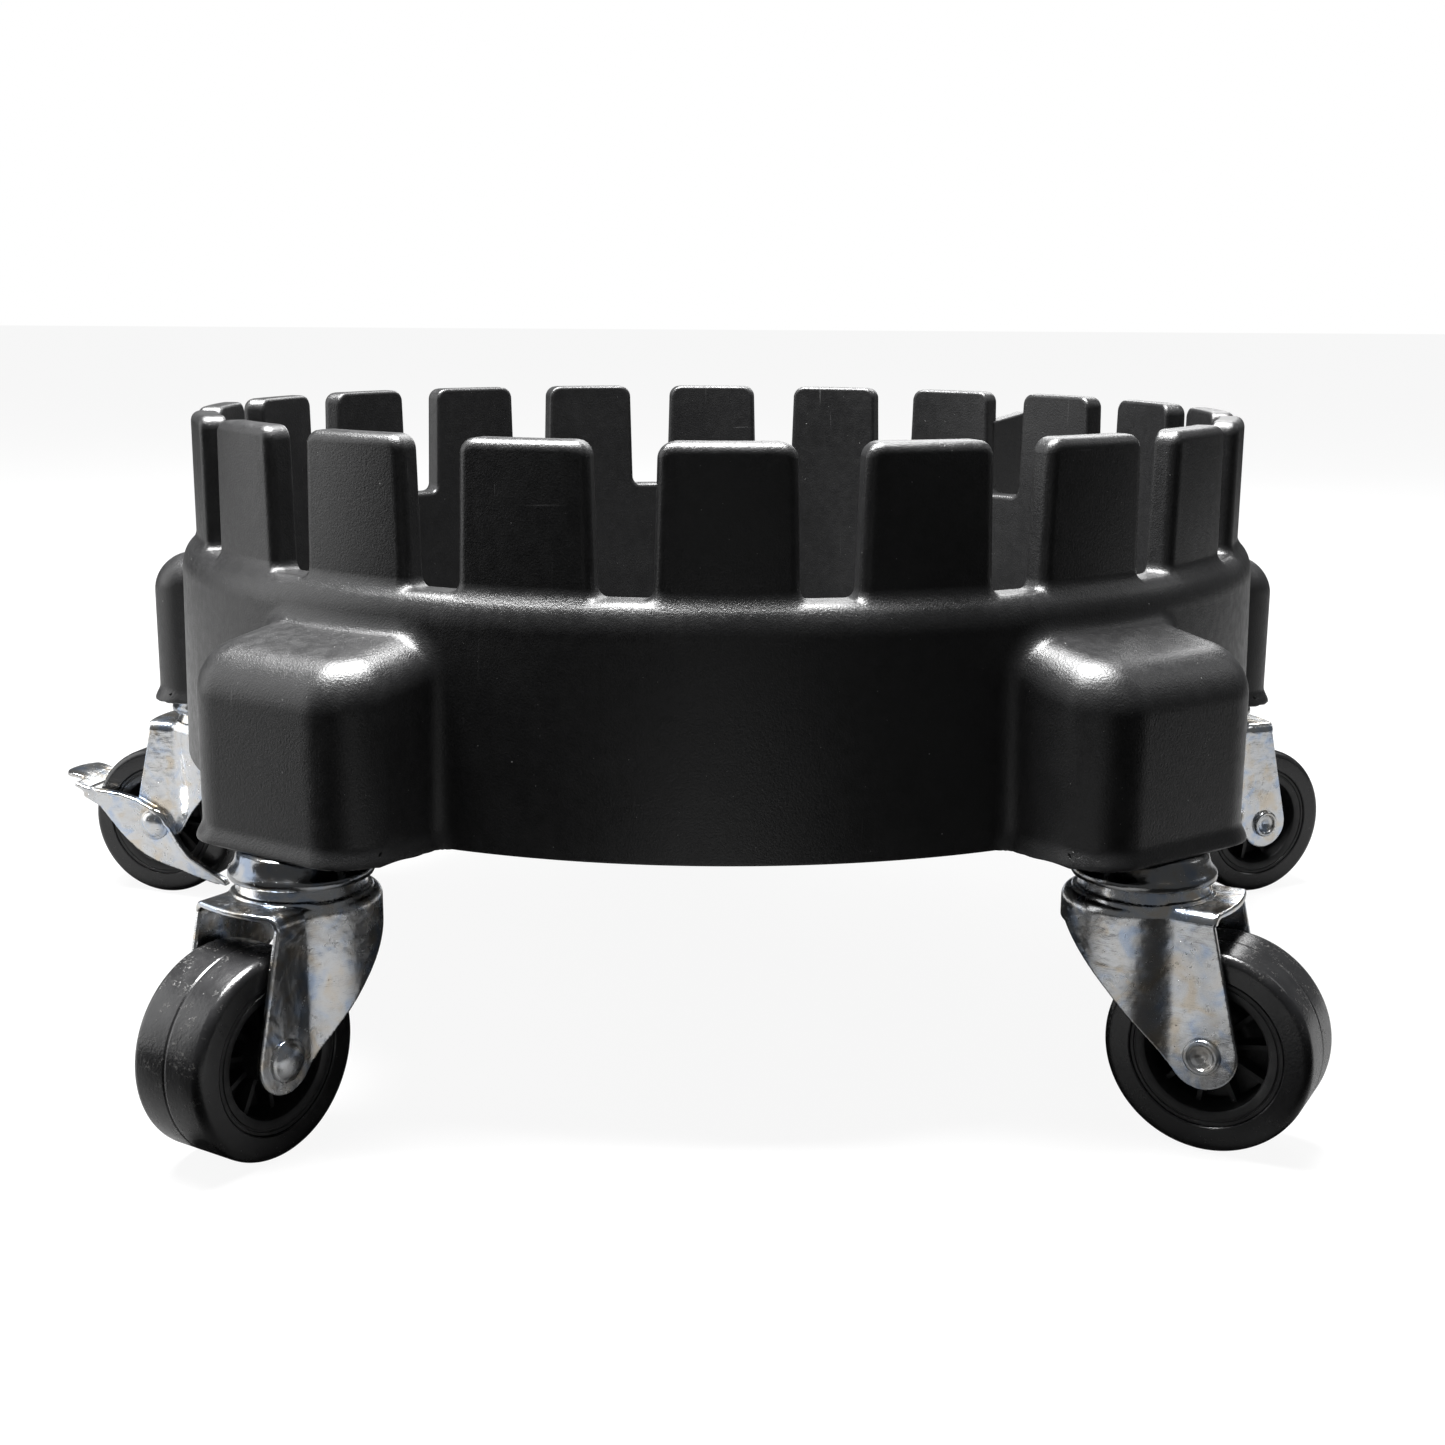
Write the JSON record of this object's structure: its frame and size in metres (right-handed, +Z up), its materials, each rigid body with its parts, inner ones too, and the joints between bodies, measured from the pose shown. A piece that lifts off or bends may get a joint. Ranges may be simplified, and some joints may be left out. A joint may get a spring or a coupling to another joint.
{
  "type": "plant pot caddy",
  "caption": "Round black plastic plant pot caddy: a deep tray with a castellated rim, standing on swivel stem casters, with a foot brake.",
  "frame": {"origin": "middle of the pot floor's upper face, on the axis of the round tray; the ground is 77 mm below", "axes": "+Z up; -Y towards the front, midway between the two front casters; +X to the right seen from the front"},
  "size_m": [0.4316, 0.3756, 0.1675],
  "materials": {
    "tray_plastic": "fine grained, black",
    "fork_zinc": "bright zinc plate with a faint bluish tint",
    "lever_zinc": "bright zinc plate",
    "cup_zinc": "dark polished zinc",
    "rivet_steel": "plated",
    "stem_steel": "plated",
    "ball_steel": "polished",
    "hub_plastic": "satin, black",
    "tyre_rubber": "smooth, slightly glossy"
  },
  "bodies": {
    "base": {"caddy_base": "tray_plastic", "stem_front_left": "stem_steel", "grip_ring_front_left": "stem_steel", "bearing_cup_front_left": "cup_zinc", "stem_front_right": "stem_steel", "grip_ring_front_right": "stem_steel", "bearing_cup_front_right": "cup_zinc", "stem_rear_right": "stem_steel", "grip_ring_rear_right": "stem_steel", "bearing_cup_rear_right": "cup_zinc", "stem_rear": "stem_steel", "grip_ring_rear": "stem_steel", "bearing_cup_rear": "cup_zinc", "stem_rear_left": "stem_steel", "grip_ring_rear_left": "stem_steel", "bearing_cup_rear_left": "cup_zinc"},
    "fork_front_left": {"fork_front_left": "fork_zinc", "bearing_balls_front_left": "ball_steel", "axle_rivet_front_left": "rivet_steel"},
    "wheel_front_left": {"hub_front_left": "hub_plastic", "tyre_front_left": "tyre_rubber"},
    "fork_front_right": {"fork_front_right": "fork_zinc", "bearing_balls_front_right": "ball_steel", "axle_rivet_front_right": "rivet_steel"},
    "wheel_front_right": {"hub_front_right": "hub_plastic", "tyre_front_right": "tyre_rubber"},
    "fork_rear_right": {"fork_rear_right": "fork_zinc", "bearing_balls_rear_right": "ball_steel", "axle_rivet_rear_right": "rivet_steel"},
    "wheel_rear_right": {"hub_rear_right": "hub_plastic", "tyre_rear_right": "tyre_rubber"},
    "fork_rear": {"fork_rear": "fork_zinc", "bearing_balls_rear": "ball_steel", "axle_rivet_rear": "rivet_steel"},
    "wheel_rear": {"hub_rear": "hub_plastic", "tyre_rear": "tyre_rubber"},
    "fork_rear_left": {"fork_rear_left": "fork_zinc", "bearing_balls_rear_left": "ball_steel", "axle_rivet_rear_left": "rivet_steel"},
    "wheel_rear_left": {"hub_rear_left": "hub_plastic", "tyre_rear_left": "tyre_rubber"},
    "brake_lever": {"brake_lever": "lever_zinc"}
  },
  "joints": [
    {"name": "swivel_front_left", "type": "hinge", "parent": "base", "child": "fork_front_left", "pos_m": [-0.1018, -0.14012, -0.0121], "axis": [0, 0, 1], "continuous": true},
    {"name": "wheel_front_left", "type": "hinge", "parent": "fork_front_left", "child": "wheel_front_left", "pos_m": [-0.11315, -0.15707, -0.052], "axis": [0.831, -0.5563, 0], "continuous": true},
    {"name": "swivel_front_right", "type": "hinge", "parent": "base", "child": "fork_front_right", "pos_m": [0.1018, -0.14012, -0.0121], "axis": [0, 0, 1], "continuous": true},
    {"name": "wheel_front_right", "type": "hinge", "parent": "fork_front_right", "child": "wheel_front_right", "pos_m": [0.1194, -0.15044, -0.052], "axis": [0.506, 0.8625, 0], "continuous": true},
    {"name": "swivel_rear_right", "type": "hinge", "parent": "base", "child": "fork_rear_right", "pos_m": [0.16472, 0.05352, -0.0121], "axis": [0, 0, 1], "continuous": true},
    {"name": "wheel_rear_right", "type": "hinge", "parent": "fork_rear_right", "child": "wheel_rear_right", "pos_m": [0.18377, 0.06083, -0.052], "axis": [-0.3584, 0.9336, 0], "continuous": true},
    {"name": "swivel_rear", "type": "hinge", "parent": "base", "child": "fork_rear", "pos_m": [0, 0.1732, -0.0121], "axis": [0, 0, 1], "continuous": true},
    {"name": "wheel_rear", "type": "hinge", "parent": "fork_rear", "child": "wheel_rear", "pos_m": [0.00958, 0.15519, -0.052], "axis": [0.8829, 0.4695, 0], "continuous": true},
    {"name": "swivel_rear_left", "type": "hinge", "parent": "base", "child": "fork_rear_left", "pos_m": [-0.16472, 0.05352, -0.0121], "axis": [0, 0, 1], "continuous": true},
    {"name": "wheel_rear_left", "type": "hinge", "parent": "fork_rear_left", "child": "wheel_rear_left", "pos_m": [-0.18439, 0.05894, -0.052], "axis": [-0.2656, -0.9641, 0], "continuous": true},
    {"name": "brake_hinge", "type": "hinge", "parent": "fork_rear_left", "child": "brake_lever", "pos_m": [-0.18439, 0.05894, -0.052], "axis": [-0.2656, -0.9641, 0], "range_deg": [0, 12]}
  ]
}
